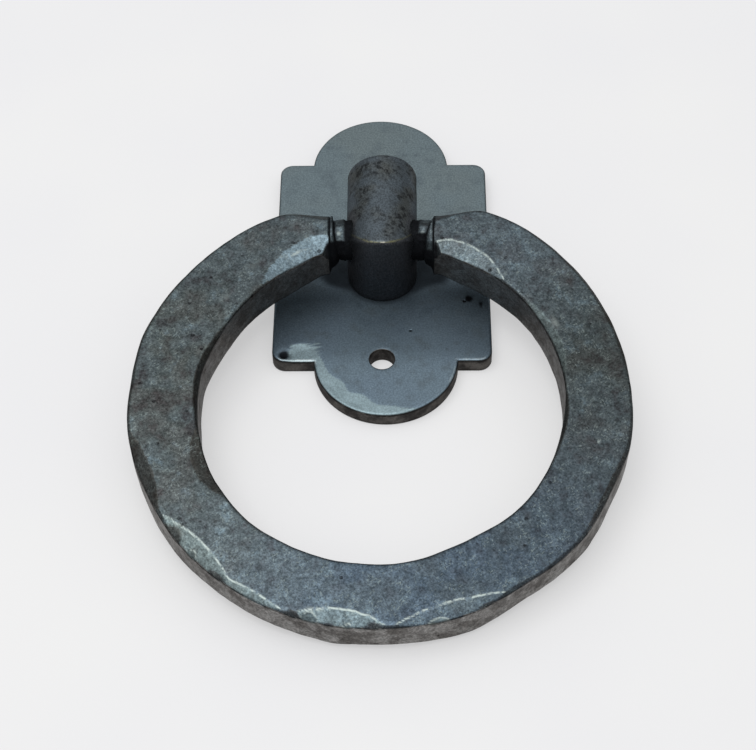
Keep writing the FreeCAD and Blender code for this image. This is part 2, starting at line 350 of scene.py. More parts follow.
def forged_post_steel():
    """Mild steel round bar, mitred, welded and blackened: grey scale with black blotches.

    The eye sees a matt stem under a paler head, the stem darkened by soot and painted shade, a thin
    straw-coloured line at the weld, and a painted glint at the front of the mitre.
    """
    material, tree, place, look = start_material(
        "mild_steel_round_bar_blackened",
        {"broad": (7.0, 2.0, 0.5), "mottle": (1.5, 4.0, 0.7), "speckle": (0.4, 2.0, 0.6)},
        POST_MARKS)
    broad, mottle, speckle = look["broad"], look["mottle"], look["speckle"]
    colour = lay(tree, linear("#50585e"), [
        ("#4c5050", 1.0, (broad, 0.38, 0.62)),
        ("#1c1d1f", 0.8, (mottle, 0.47, 0.61), (broad, 0.38, 0.54)),
        # soot and painted shade: the stem, the head's sides by the necks and the skin round the pivot
        # holes
        ("#414347", 0.9, (look["soot"], 0.0, 1.0))])
    colour = mottled(tree, colour, speckle, 0.66, 1.34)
    colour = lay(tree, colour, [
        ("#716f50", 0.8, (look["seam"], 0.0, 1.0), (speckle, 0.3, 0.6)),
        # a painted glint at the front of the mitre
        ("#f2efe2", 1.0, (look["spot"], 0.0, 1.0))])
    rough = satin(tree, mottle, 0.42, 0.58, look["soot"], 0.0)
    return finish_steel(material, colour, rough, [(mottle, 0.6), (speckle, 0.25)], 0.09)


# ---------------------------------------------------------------- ring

# Radius of the outer and inner wall at each clock angle (0 at the pivot, clockwise), in mm.
OUTER_WALL = [(10, 52.6), (20, 54.2), (35, 55.2), (45, 55.1), (60, 54.6), (85, 53.7), (95, 54.0),
              (103, 54.1), (115, 53.3), (127, 53.9), (135, 53.8), (147, 53.2), (160, 54.0),
              (185, 54.2), (205, 54.6), (222, 54.4), (245, 54.2), (262, 54.7), (275, 54.3),
              (287, 54.8), (300, 54.5), (315, 54.0), (330, 53.8), (340, 53.0), (350, 52.0)]
INNER_WALL = [(10, 40.6), (25, 39.9), (45, 39.9), (75, 39.7), (88, 39.6), (105, 39.2), (125, 39.5),
              (135, 39.4), (148, 38.8), (158, 38.8), (175, 39.8), (205, 40.1), (222, 40.5),
              (245, 40.0), (265, 39.4), (280, 39.6), (298, 38.5), (312, 38.6), (330, 39.2),
              (350, 40.6)]

OUTER_TOP, INNER_TOP, OUTER_LOW, INNER_LOW = "outer top", "inner top", "outer low", "inner low"

# Hammer facets: edge, clock angle, half length in degrees, tilt from the flat face, depth in mm,
# and whether the blow left it bright or dull.
HAMMER_FACETS = [
    (OUTER_TOP, 164, 14, 14, 0.85, "lens"),
    (OUTER_TOP, 189, 11, 15, 0.95, "facet"),
    (OUTER_TOP, 210, 10, 20, 0.60, "facet"),
    (OUTER_TOP, 226, 13, 16, 1.00, "facet"),
    (OUTER_TOP, 182, 3, 34, 0.90, "dull"),
    (OUTER_TOP, 187, 2.5, 30, 1.05, "chip"),
    (OUTER_TOP, 191, 2, 36, 1.00, "dull"),
    (OUTER_TOP, 195, 3, 28, 1.05, "chip"),
    (OUTER_TOP, 199, 2, 40, 0.80, "dull"),
    (OUTER_TOP, 219, 4, 34, 0.95, "dull"),
    (OUTER_TOP, 226, 3, 30, 1.25, "chip"),
    (OUTER_TOP, 232, 4, 32, 1.20, "dull"),
    (OUTER_TOP, 157, 4, 34, 0.80, "dull"),
    (OUTER_TOP, 167, 5, 28, 0.95, "chip"),
    (OUTER_TOP, 250, 12, 30, 1.50, "dull"),
    (OUTER_TOP, 116, 17, 35, 0.70, "dull"),
    (OUTER_TOP, 55, 36, 50, 0.85, "dull"),
    (OUTER_TOP, 300, 30, 55, 0.60, "dull"),
    (INNER_TOP, 246, 14, 22, 1.20, "dull"),
    (INNER_TOP, 278, 24, 60, 0.85, "dull"),
    (INNER_TOP, 338, 22, 13, 1.10, "soft"),
    (INNER_TOP, 26, 17, 17, 1.18, "lens"),
    (INNER_TOP, 68, 18, 28, 0.90, "worn"),
    (INNER_TOP, 100, 14, 50, 0.70, "dull"),
    (OUTER_LOW, 212, 30, 55, 1.90, "flank"),
    (OUTER_LOW, 178, 20, 50, 1.60, "flank"),
    (OUTER_LOW, 140, 24, 60, 1.50, "flank"),
    (OUTER_LOW, 250, 16, 50, 1.40, "flank"),
    (INNER_LOW, 305, 20, 45, 0.90, "wall"),
    (INNER_LOW, 60, 25, 45, 0.90, "wall"),
    (INNER_LOW, 100, 16, 50, 1.10, "wall"),
]
FACET_SHARE = {"facet": 1.0, "chip": 1.0, "lens": 0.35, "worn": 0.55}
EDGE_BEVEL = {OUTER_TOP: 0.42, INNER_TOP: 0.32, OUTER_LOW: 1.0, INNER_LOW: 0.5}
EDGE_SHARPNESS = 90

# Places rubbed bright: clock angle, radius in mm, half length and half width in mm, strength.
RUBBED = [(333, 42.2, 3.0, 0.5, 0.75), (328, 42.8, 1.6, 0.5, 0.45), (338, 44.6, 4.0, 1.8, 0.25),
          (320, 44.5, 4.0, 1.8, 0.3), (306, 42.8, 2.5, 1.4, 0.35), (296, 44.5, 3.0, 1.5, 0.25),
          (262, 53.0, 1.2, 0.5, 0.9), (232, 52.6, 3.0, 0.8, 0.4), (36, 46.0, 3.0, 1.5, 0.25),
          (104, 47.5, 0.6, 0.4, 0.9), (195, 51.8, 2.5, 0.6, 0.5), (64, 42.4, 2.6, 0.9, 0.5),
          (120, 45.0, 0.8, 0.5, 0.5), (216, 46.5, 3.0, 1.2, 0.3)]

# How light and how blue the scale on the flat face is at each clock angle.
SCALE_SHADE = [(0, 1.15), (40, 1.25), (60, 0.9), (76, 0.72), (100, 0.9), (120, 0.92), (145, 0.93),
               (165, 1.0), (180, 1.15), (205, 1.22), (220, 1.22), (235, 1.15), (250, 1.02),
               (275, 0.98), (300, 0.95), (315, 0.98), (335, 1.1), (360, 1.15)]
SCALE_BLUE = [(0, 0.5), (40, 0.6), (75, 0.3), (100, 0.45), (125, 0.7), (150, 0.9), (180, 1.0),
              (200, 0.8), (220, 0.45), (250, 0.35), (290, 0.3), (330, 0.45), (360, 0.5)]
TAPER_CLOCK = 26.0
ARC_STEPS = 500
TAPER_STEPS = 22
SECTION_STEPS = 144


def edge_plane(edge, tilt, depth, outer, inner):
    """A plane across one long edge of the bar: its direction round the section and its distance."""
    direction = {OUTER_TOP: 90 - tilt, INNER_TOP: 90 + tilt,
                 OUTER_LOW: 270 + tilt, INNER_LOW: 270 - tilt}[edge]
    across = outer if edge in (OUTER_TOP, OUTER_LOW) else -inner
    up = RING_HALF_THICK if edge in (OUTER_TOP, INNER_TOP) else -RING_HALF_THICK
    angle = math.radians(direction)
    return angle, across * math.cos(angle) + up * math.sin(angle) - depth


def bar_planes(clock, taper):
    """The planes that bound the bar at this clock angle, each with what it is.

    Towards a shoulder the bar narrows a little and its outer edges are knocked down.
    """
    share = smooth_step(taper)
    outer = mix(eased(OUTER_WALL, clock, 1.8) - RING_MID, SHOULDER_OUTER, share)
    inner = mix(RING_MID - eased(INNER_WALL, clock, 1.8), SHOULDER_INNER, share)
    planes = [(0.0, outer, "flank"), (math.pi / 2, RING_HALF_THICK, "top"),
              (math.pi, inner, "wall"), (1.5 * math.pi, RING_HALF_THICK, "wall")]
    knocked = {OUTER_TOP: 2.3, INNER_TOP: 1.7 * share ** 5, OUTER_LOW: 1.6, INNER_LOW: 0.6}
    for edge, depth in EDGE_BEVEL.items():
        wander = 1 + 0.5 * lumps((clock / 9, len(edge), ord(edge[0]) / 7), 1.0)
        cut = depth * wander + knocked[edge] * share
        planes.append((*edge_plane(edge, 46, cut, outer, inner), "bevel"))
    for edge, middle, half, tilt, depth, kind in HAMMER_FACETS:
        away = (clock - middle + 180) % 360 - 180
        bite = (1 - (away / half) ** 2 + 0.06 * lumps((clock / 4, middle, 0), 1.0)
                + 0.04 * lumps((clock / 1.4, middle, 0), 1.0))
        if bite > -0.5:
            planes.append((*edge_plane(edge, tilt, depth * bite, outer, inner), kind))
    return planes


def section_angles():
    """Angles round the section that space points evenly along a plain rectangle."""
    half_width = (RING_OUTER - RING_MID)
    perimeter = 4 * (half_width + RING_HALF_THICK)
    angles = []
    for step in range(SECTION_STEPS):
        left = step * perimeter / SECTION_STEPS
        x, y = half_width, -RING_HALF_THICK
        for dx, dy, length in ((0, 1, 2 * RING_HALF_THICK), (-1, 0, 2 * half_width),
                               (0, -1, 2 * RING_HALF_THICK), (1, 0, 2 * half_width)):
            run = min(left, length)
            x += dx * run
            y += dy * run
            left -= run
        angles.append(math.atan2(y, x))
    return angles


def reach_at(planes, angle):
    """How far the bar's skin is from its middle at this angle, with the marks of that spot."""
    pulls = []
    for direction, distance, kind in planes:
        lean = math.cos(angle - direction)
        if lean > 0.05:
            pulls.append((lean / distance, direction, kind))
    pulls.sort(reverse=True)
    strongest = pulls[0][0]
    total = sum((pull / strongest) ** EDGE_SHARPNESS for pull, _, _ in pulls)
    reach = 1 / (strongest * total ** (1 / EDGE_SHARPNESS))
    (first, turn_a, kind_a), (second, turn_b, kind_b) = pulls[:2]
    from_edge = reach * (1 - second / first) / max(0.1, abs(math.sin(turn_a - turn_b)))
    near = math.exp(-(from_edge / 0.3) ** 2)
    kinds = {kind_a, kind_b}
    marks = {"wall": float(kind_a in ("wall", "flank")), "flank": float(kind_a == "flank"),
             "facet": FACET_SHARE.get(kind_a, 0.0),
             "soft": float(kind_a == "soft"),
             "dull": float(kind_a == "dull") + 0.5 * float(kind_a == "bevel"),
             "ridge": near * ("top" in kinds and bool(kinds & {"facet", "lens"})
                              or 0.8 * ("chip" in kinds)),
             "rim": near * bool(kinds & {"wall", "flank"} and kinds - {"wall", "flank"})}
    return reach, marks


def ring_point(u, v, w):
    """A point of the ring's own plane, u right, v to the tip and w outward, placed on the door."""
    slope, rise = math.cos(RING_LEAN), math.sin(RING_LEAN)
    return Vector((u, POST_Y - v * slope - w * rise, PIVOT_Z - v * rise + w * slope))


def ring_stations():
    """Middle, outward direction, clock angle and taper share of every section, right end first."""
    start = math.radians(TAPER_CLOCK)
    full = Vector((RING_MID * math.sin(start), RING_DROP - RING_MID * math.cos(start)))
    shoulder = Vector((SHOULDER_X, 0.0))
    pull = 0.36 * (full - shoulder).length
    handles = (shoulder, shoulder + Vector((pull, 0)),
               full - pull * Vector((math.cos(start), math.sin(start))), full)
    ends = []
    for step in range(TAPER_STEPS + 1):
        t = step / TAPER_STEPS
        a, b, c, d = handles
        middle = (1 - t) ** 3 * a + 3 * t * (1 - t) ** 2 * b + 3 * t * t * (1 - t) * c + t ** 3 * d
        heading = 3 * (1 - t) ** 2 * (b - a) + 6 * t * (1 - t) * (c - b) + 3 * t * t * (d - c)
        turn = math.atan2(heading.y, heading.x)
        clock = math.degrees(math.atan2(middle.x, RING_DROP - middle.y))
        ends.append((middle, turn, clock, 1 - t))
    right = ends[:-1]
    arc = []
    for step in range(ARC_STEPS + 1):
        clock = mix(TAPER_CLOCK, 360 - TAPER_CLOCK, step / ARC_STEPS)
        turn = math.radians(clock)
        middle = Vector((RING_MID * math.sin(turn), RING_DROP - RING_MID * math.cos(turn)))
        arc.append((middle, turn, clock, 0.0))
    left = [(Vector((-m.x, m.y)), -turn, 360 - clock, taper)
            for m, turn, clock, taper in reversed(right)]
    return right + arc + left


# How far from the middle plane the fold at the foot of each shoulder's lip lies, by section angle
# in degrees: 0 away from the ring's middle, 90 on top, 180 towards it.
RIGHT_FOLD = [(0, 12.0), (45, 11.9), (75, 11.1), (115, 10.0), (180, 9.7), (250, 9.8), (300, 10.8),
              (360, 12.0)]
LEFT_FOLD = [(0, 11.3), (60, 11.0), (110, 10.8), (150, 10.3), (200, 9.8), (250, 9.8), (300, 10.6),
             (360, 11.3)]
LIP_TOP = 11.7
LIP_FOOT = 10.3
NECK_END = 8.3
HIDDEN_X = 7.6

# From the bar's end to the tip of the neck: distance from the middle plane, share of the bar's
# section left, radius of the round part, and how dark it is painted, soot and painted shade. The dips
# are the fold lines.
NECK_PROFILE = [(11.95, 1.0, 5.4, 0.5), (11.88, 0.9, 5.0, 1.0), (LIP_TOP, 0.7, 4.9, 1.0),
                (11.55, 0.4, 5.2, 0.5), (11.3, 0.2, 5.4, 0.1), (11.0, 0.1, 5.4, 0.1),
                (10.7, 0.0, 5.3, 0.2), (10.45, 0.0, 5.0, 0.6), (LIP_FOOT, 0.0, 4.45, 1.0),
                (10.15, 0.0, 4.2, 0.9), (9.95, 0.0, 4.3, 0.35), (9.6, 0.0, 4.35, 0.15),
                (9.2, 0.0, 4.35, 0.12), (8.8, 0.0, 4.38, 0.2), (8.4, 0.0, 4.45, 0.6),
                (8.1, 0.0, 4.5, 1.0), (HIDDEN_X, 0.0, 4.5, 1.0), (6.0, 0.0, 4.5, 1.0),
                (4.0, 0.0, 4.5, 1.0), (2.4, 0.0, 4.5, 1.0), (2.1, 0.0, 4.3, 1.0),
                (2.0, 0.0, 3.8, 1.0), (2.0, 0.0, 2.0, 1.0)]
RING_MARKS = ("wall", "flank", "facet", "soft", "dull", "ridge", "rim", "soot", "shade", "blue")


def rubbed(clock, radius):
    """How bright this spot of the flat face has been rubbed."""
    most = 0.0
    for at, middle, half_length, half_width, strength in RUBBED:
        run = math.radians((clock - at + 180) % 360 - 180) * middle
        away = (run / half_length) ** 2 + ((radius - middle) / half_width) ** 2
        most = max(most, strength * math.exp(-away))
    return most


def bar_row(station, angles):
    """One section of the bar: its points and a set of marks for each."""
    middle, turn, clock, taper = station
    planes = bar_planes(clock, taper)
    outward = Vector((math.sin(turn), -math.cos(turn)))
    shade = eased(SCALE_SHADE, clock, 4)
    blue = eased(SCALE_BLUE, clock, 6)
    at_end = smooth_step((SHOULDER_X + 1.9 - abs(middle.x)) / 1.6) if taper > 0 else 0.0
    row = []
    spots = []
    for angle in angles:
        reach, spot = reach_at(planes, angle)
        across = outward * reach * math.cos(angle)
        place = (middle.x + across.x, middle.y + across.y, reach * math.sin(angle))
        reach += 0.10 * lumps(place, 7.0, 1.0) + 0.045 * lumps(place, 2.4, 4.0)
        across = outward * reach * math.cos(angle)
        point = ring_point(middle.x + across.x, middle.y + across.y, reach * math.sin(angle))
        point.z = max(point.z, 0.02)
        row.append(point)
        if math.sin(angle) > 0:
            spot["ridge"] = max(spot["ridge"], rubbed(clock, RING_MID + reach * math.cos(angle)))
        # Painted shade: towards each shoulder the underside of the bar is darkened, most at the fold.
        shade_below_top = smooth_step((abs(math.degrees(angle) % 360 - 80) - mix(57, 40, at_end)) / 18)
        at_fold = 0.95 if math.degrees(angle) % 360 < 160 else 0.5
        spot.update(soot=shade_below_top * mix(0.35 * min(1, taper * 2), at_fold, at_end),
                    shade=shade, blue=blue)
        spots.append(spot)
    return row, spots


def neck_rows(side, station, angles):
    """The folded shoulder and round neck at one end of the bar."""
    planes = bar_planes(station[2], 1.0)
    folds = RIGHT_FOLD if side > 0 else LEFT_FOLD
    rows = []
    spots = []
    for x, share, radius, sooty in NECK_PROFILE:
        row = []
        for angle in angles:
            turn = math.degrees(angle) % 360
            fold = along(folds, turn) + 0.12 * lumps((math.cos(angle), math.sin(angle), side), 0.5)
            if x >= LIP_TOP:
                here = x + (fold - LIP_FOOT) * 0.12
            elif x >= LIP_FOOT:
                here = mix(fold, LIP_TOP + (fold - LIP_FOOT) * 0.12,
                           (x - LIP_FOOT) / (LIP_TOP - LIP_FOOT))
            elif x >= HIDDEN_X:
                here = mix(HIDDEN_X, fold, (x - HIDDEN_X) / (LIP_FOOT - HIDDEN_X))
            else:
                here = x
            bar_reach, _ = reach_at(planes, angle)
            if NECK_END < x < LIP_TOP:
                flat = math.radians((turn - 105 + 22.5) % 45 - 22.5)
                worked = 0.22 * lumps((here, 4 * math.cos(angle), 4 * math.sin(angle)), 1.6, side)
                round_reach = radius / math.cos(flat) ** 0.8 + worked
            else:
                round_reach = radius
            reach = mix(round_reach, bar_reach, share)
            row.append(ring_point(side * here, -reach * math.cos(angle),
                                  reach * math.sin(angle)))
            # Painted shade: below its lit band the neck is darkened.
            lit_to = (142 if side > 0 else 122) if x > LIP_FOOT else (98 if side > 0 else 120)
            under = max(smooth_step((turn - lit_to) / 12), smooth_step((30 - turn) / 15))
            # Painted highlight, partly wear: a bright spot on top of the neck, carried in the ridge
            # mark.
            worn = 0.8 * math.exp(-((turn - 104) / 9) ** 2 - ((x - 9.4) / 0.35) ** 2)
            spots.append({"wall": 0.0, "flank": 0.0, "facet": 0.3, "soft": 0.0, "dull": 0.0,
                          "ridge": worn, "rim": 0.0, "soot": max(sooty, under), "shade": 1.0,
                          "blue": 0.6})
        rows.append(row)
    return rows, spots


def make_ring():
    """The hammered bar, bent round and drawn down to a neck at each end."""
    angles = section_angles()
    stations = ring_stations()
    rows = []
    spots = []
    for station in stations:
        row, more = bar_row(station, angles)
        rows.append(row)
        spots += more
    count = len(angles)
    for side, station in ((1, stations[0]), (-1, stations[-1])):
        more_rows, more = neck_rows(side, station, angles)
        if side > 0:
            rows = more_rows[::-1] + rows
            chunks = [more[i * count:(i + 1) * count] for i in range(len(more_rows))]
            spots = [spot for chunk in chunks[::-1] for spot in chunk] + spots
        else:
            rows += more_rows
            spots += more
    points, faces = skin(rows)
    faces.append(tuple(range(count)))
    faces.append(tuple(range(len(points) - count, len(points))))
    marks = {name: [spot[name] for spot in spots] for name in RING_MARKS}
    return make_piece("ring_bar", points, faces, marks)


# ---------------------------------------------------------------- post


def bar_corner(angle):
    """Where the line along the bar at this angle turns from stem to head, and its small radius."""
    forward = BAR_RADIUS * math.cos(angle)
    return POST_Y - forward, PIVOT_Z + forward, 0.9 * max(0.0, forward / BAR_RADIUS)


POST_MARKS = ("seam", "soot", "spot")
POST_SIDES = 96
CORNER_STEPS = 8


def stem_line(angle):
    """The stem's outline at this angle, from the middle of the rivet to the mitre."""
    side, forward = math.sin(angle), math.cos(angle)
    corner_y, corner_z, radius = bar_corner(angle)
    line = []
    for r, z in ((0.0, 0.12), (2.5, 0.1), (5.2, 0.05), (6.0, 0.08), (6.2, 0.25), (5.1, 1.2),
                 (5.0, 2.5), (5.0, 4.0), (6.5, 4.0), (7.7, 4.02), (7.95, 4.2)):
        line.append((r * side, POST_Y - r * forward, z))
    low = 4.6
    high = corner_z - radius
    for step in range(25):
        line.append((BAR_RADIUS * side, POST_Y - BAR_RADIUS * forward, mix(low, high, step / 24)))
    for step in range(1, CORNER_STEPS + 1):
        bend = math.radians(45) * step / CORNER_STEPS
        line.append((BAR_RADIUS * side, corner_y + radius * (1 - math.cos(bend)),
                     high + radius * math.sin(bend)))
    return line


def head_line(angle):
    """The head's outline at this angle, from the mitre to the middle of its far end."""
    side = math.sin(angle)
    forward = math.cos(angle)
    corner_y, corner_z, radius = bar_corner(angle)
    line = []
    for step in range(CORNER_STEPS + 1):
        bend = math.radians(45) * (1 + step / CORNER_STEPS)
        line.append((BAR_RADIUS * side, corner_y + radius * (1 - math.cos(bend)),
                     corner_z - radius + radius * math.sin(bend)))
    start = corner_y + radius
    skew = 0.02 * BAR_RADIUS * side
    end = HEAD_END_Y - 0.5 + skew
    near = start + 4.0
    for step in range(1, 17):
        line.append((BAR_RADIUS * side, mix(start, near, step / 16), corner_z))
    for step in range(1, 25):
        line.append((BAR_RADIUS * side, mix(near, end, step / 24), corner_z))
    for inset, back in ((0.06, 0.28), (0.18, 0.12), (0.4, 0.03), (1.5, 0.0), (3.0, 0.0), (5.5, 0.0)):
        r = BAR_RADIUS - inset
        line.append((r * side, HEAD_END_Y - back + skew * r / BAR_RADIUS, PIVOT_Z + r * forward))
    line.append((0.0, HEAD_END_Y, PIVOT_Z))
    return line


def roughen(point, middle):
    """Moves a point of the bar a little in or out of its middle line."""
    point = Vector(point)
    away = point - middle
    if away.length < 1:
        return point
    swell = 0.07 * lumps(point, 5.0, 7.0) + 0.035 * lumps(point, 2.0, 9.0) + 0.06
    return point + away.normalized() * swell


def post_marks(point, is_stem):
    """Soot and painted shade below the weld, up the sides of the head and round the necks, the heat
    line beside the weld, and a painted glint.
    """
    x, y, z = point
    if z < 4.1:
        return {"seam": 0.0, "soot": 0.3, "spot": 0.0}
    forward = math.sqrt(max(0.0, BAR_RADIUS ** 2 - x * x))
    corner = POST_Y - forward
    # Painted shade: the dark of the stem reaches up the sides of the head towards the necks.
    past = y - corner - 0.042 * x * x
    if is_stem or z < PIVOT_Z:
        past = -5.0 if z < PIVOT_Z + forward - 1.2 else min(past, z - PIVOT_Z - forward)
    to_hole = math.hypot(y - POST_Y, z - PIVOT_Z) - PIVOT_HOLE_RADIUS
    # Painted shade, with some grime, round the pivot holes where the necks go in.
    grime_and_shade = math.exp(-(to_hole / 2.2) ** 2) * smooth_step((abs(x) - 4) / 3)
    soot = max(1 - smooth_step((past + 0.15) / 0.3), 0.9 * grime_and_shade)
    seam = math.exp(-((past - 0.1) / 0.3) ** 2) * (1 - 0.5 * abs(x) / BAR_RADIUS)
    # Painted highlight: a small glint at the front of the mitre.
    spot = math.exp(-((x - 0.3) / 0.5) ** 2 - ((past - 0.05) / 0.25) ** 2)
    return {"seam": seam, "soot": soot, "spot": spot}


def make_post_bar(name, line_at, is_stem):
    """One leg of the post, cut at the mitre and drilled for the ring's necks."""
    columns = []
    for step in range(POST_SIDES):
        angle = 2 * math.pi * step / POST_SIDES
        column = []
        for point in line_at(angle):
            if is_stem:
                middle = Vector((0, POST_Y, min(point[2], PIVOT_Z)))
            else:
                middle = Vector((0, max(point[1], POST_Y), PIVOT_Z))
            column.append(roughen(point, middle) if point[2] > 4.1 else Vector(point))
        columns.append(column)
    rows = [[column[i] for column in columns] for i in range(len(columns[0]))]
    points, faces = skin(rows)
    mitre = len(rows) - 1 if is_stem else 0
    faces.append(tuple(range(mitre * POST_SIDES, (mitre + 1) * POST_SIDES)))
    marks = {mark: [] for mark in POST_MARKS}
    for point in points:
        for mark, value in post_marks(point, is_stem).items():
            marks[mark].append(value)
    piece = make_piece(name, points, faces, marks, sharp=50)
    drill(piece, PIVOT_HOLE_RADIUS)
    return piece


def drill(piece, radius):
    """Cuts the pivot hole through a leg of the post, along X."""
    rows = []
    for x in (-12, 12):
        rows.append([(x, POST_Y + radius * math.cos(math.radians(a)),
                      PIVOT_Z + radius * math.sin(math.radians(a))) for a in range(0, 360, 5)])
    points, faces = skin(rows)
    faces.append(tuple(range(72)))
    faces.append(tuple(range(72, 144)))
    cutter = make_piece("drill", points, faces)
    cut = piece.modifiers.new("hole", "BOOLEAN")
    cut.operation = "DIFFERENCE"
    cut.solver = "EXACT"
    cut.object = cutter
    ready = piece.evaluated_get(bpy.context.evaluated_depsgraph_get())
    mesh = bpy.data.meshes.new_from_object(ready)
    piece.modifiers.remove(cut)
    piece.data = mesh
    bpy.data.objects.remove(cutter)


# ---------------------------------------------------------------- backplate

PLATE_MARKS = ("shade", "wall", "facet", "worn", "rim", "soot", "pit", "blue")
UPPER_LOBE_X = -0.6
LOWER_LOBE_X = 0.9


def arc_points(x, y, radius, start, end, count):
    """Points on an arc, angles in degrees, ends included."""
    angles = [math.radians(mix(start, end, i / (count - 1))) for i in range(count)]
    return [(x + radius * math.cos(a), y + radius * math.sin(a)) for a in angles]


def run_points(a, b, count):
    """Points inside a straight run, ends left out."""
    return [(mix(a[0], b[0], i / count), mix(a[1], b[1], i / count)) for i in range(1, count)]


def lobe_points(x, inset, top):
    """One lobe's arc between the two shoulders, anticlockwise."""
    radius = LOBE_RADIUS - inset
    rise = PLATE_HALF_STRAIGHT - inset - LOBE_Y
    angle = math.degrees(math.asin(rise / radius))
    if top:
        return arc_points(x, LOBE_Y, radius, angle, 180 - angle, 73)
    return arc_points(x, -LOBE_Y, radius, 180 + angle, 360 - angle, 73)


def plate_outline(inset):
    """The plate's outline, moved in by inset, anticlockwise from the lower right shoulder."""
    x = PLATE_HALF_WIDTH - CORNER_RADIUS
    y = PLATE_HALF_STRAIGHT - CORNER_RADIUS
    radius = max(0.05, CORNER_RADIUS - inset)
    slack = max(0.0, inset - CORNER_RADIUS + 0.05)
    x -= slack
    y -= slack
    parts = [arc_points(x, -y, radius, -90, 0, 9), arc_points(x, y, radius, 0, 90, 9),
             lobe_points(UPPER_LOBE_X, inset, True), arc_points(-x, y, radius, 90, 180, 9),
             arc_points(-x, -y, radius, 180, 270, 9), lobe_points(LOWER_LOBE_X, inset, False)]
    counts = [60, 8, 8, 60, 8, 8]
    outline = []
    for i, part in enumerate(parts):
        following = parts[(i + 1) % len(parts)]
        outline += part + run_points(part[-1], following[0], counts[i])
    return outline


def filed(x, y):
    """How deep in the filed places of the lower end this spot is, in mm: a scallop at the left
    corner and a crescent along the left of the lobe."""
    if y > -20:
        return 0.0
    scallop = 1 - abs((x + 18.3) / 3.4) ** 3 - abs((y + 30.8) / 5.2) ** 3
    from_lobe = Vector((x - LOWER_LOBE_X, y + LOBE_Y))
    angle = math.degrees(math.atan2(from_lobe.x, -from_lobe.y))
    width = along([(-95, 1.0), (-70, 3.4), (-48, 4.2), (-28, 4.3), (-10, 3.4), (10, 2.0),
                   (30, 0.0)], angle) * (1 + 0.12 * math.sin(angle / 5))
    crescent = width - (LOBE_RADIUS - from_lobe.length) if from_lobe.length < LOBE_RADIUS else 0.0
    return max(0.0, 4 * scallop, crescent)


def rim_point(x, y, inset):
    """A point of the plate's top near the rim, with the facet mark of that spot."""
    edge = 0.55
    fall = edge - math.sqrt(max(0.0, edge ** 2 - max(0.0, edge - inset) ** 2))
    band = filed(x, y)
    fall += 0.1 * min(band, 3.0)
    return Vector((x, y, PLATE_THICK - fall + wave(x, y))), smooth_step(band / 0.3)


def wave(x, y):
    """The slight unevenness of the rolled and hammered flat."""
    rolled = 0.045 * lumps((x, y, 0), 14.0, 3.0) + 0.012 * lumps((x, y, 0), 4.0, 5.0) - 0.03
    return rolled - 0.3 * pitted(x, y)


# Small rust pits in the flat: place and radius.
PITS = [(-22.2, -28.9, 1.25), (20.1, -12.4, 0.95), (22.8, -14.3, 0.6), (19.0, -13.2, 0.45),
        (6.5, -22.0, 0.25), (-15.0, 12.0, 0.3)]


def pitted(x, y):
    """How deep in a pit this spot of the plate is, 0 to 1."""
    return max(math.exp(-(math.hypot(x - px, y - py) / radius) ** 4) for px, py, radius in PITS)


def sooty(x, y):
    """Soot burnt on the plate, with painted shade, round the foot of the post and under the necks, 0
    to 1.
    """
    cloud = (x / 16) ** 2 + ((y + 3.2) / 7.6) ** 2 + 0.25 * lumps((x, y, 0), 4.0, 6.0)
    foot = math.hypot(x, y - POST_Y) - BAR_RADIUS
    return max(1 - smooth_step((cloud - 0.65) / 0.8), 0.75 * math.exp(-(foot / 1.3) ** 2))


def hole_loop(x, y, radius, count=48):
    """A round loop of points."""
    return arc_points(x, y, radius, 0, 360 * (count - 1) / count, count)


def fill(outline, holes, spacing):
    """Triangles over a flat outline with round holes, on a staggered grid of inner points."""
    loops = [outline] + [hole_loop(x, y, radius) for x, y, radius in holes]
    points = []
    edges = []
    for loop in loops:
        start = len(points)
        points += loop
        edges += [(start + i, start + (i + 1) % len(loop)) for i in range(len(loop))]
    rows = int(46 / (spacing * 0.866))
    for row in range(-rows, rows + 1):
        y = row * spacing * 0.866
        for column in range(-int(25 / spacing), int(25 / spacing) + 1):
            x = (column + 0.5 * (row % 2)) * spacing
            near_pit = any(math.hypot(x - px, y - py) < 1.5 * r for px, py, r in PITS)
            if not near_pit and clear_of(x, y, outline, holes, spacing * 0.6):
                points.append((x, y))
    if spacing < 1:
        for px, py, radius in PITS:
            for ring in (0.2, 0.5, 0.75, 0.95, 1.15, 1.4):
                points += [(x, y) for x, y in hole_loop(px, py, ring * radius, 14)
                           if clear_of(x, y, outline, holes, 0.1)]
    result = geometry.delaunay_2d_cdt([Vector(p) for p in points], edges, [], 1, 1e-6)
    flat = result[0]
    faces = []
    for face in result[2]:
        x = sum(flat[i].x for i in face) / len(face)
        y = sum(flat[i].y for i in face) / len(face)
        if all(math.hypot(x - hx, y - hy) > radius * 0.99 for hx, hy, radius in holes):
            faces.append(face)
    return flat, faces


def clear_of(x, y, outline, holes, gap):
    """Whether a grid point is inside the outline and well clear of every edge."""
    if any(math.hypot(x - hx, y - hy) < radius + gap for hx, hy, radius in holes):
        return False
    inside = False
    ax, ay = outline[-1]
    for bx, by in outline:
        if (ay > y) != (by > y) and x < (bx - ax) * (y - ay) / (by - ay) + ax:
            inside = not inside
        if math.hypot(x - bx, y - by) < gap:
            return False
        ax, ay = bx, by
    return inside


RIM_INSETS = [0.0, 0.04, 0.12, 0.25, 0.4, 0.55, 0.9, 1.3, 1.7, 2.1, 2.5, 2.9, 3.3, 3.7, 4.1, 4.5,
              4.9, 5.3]


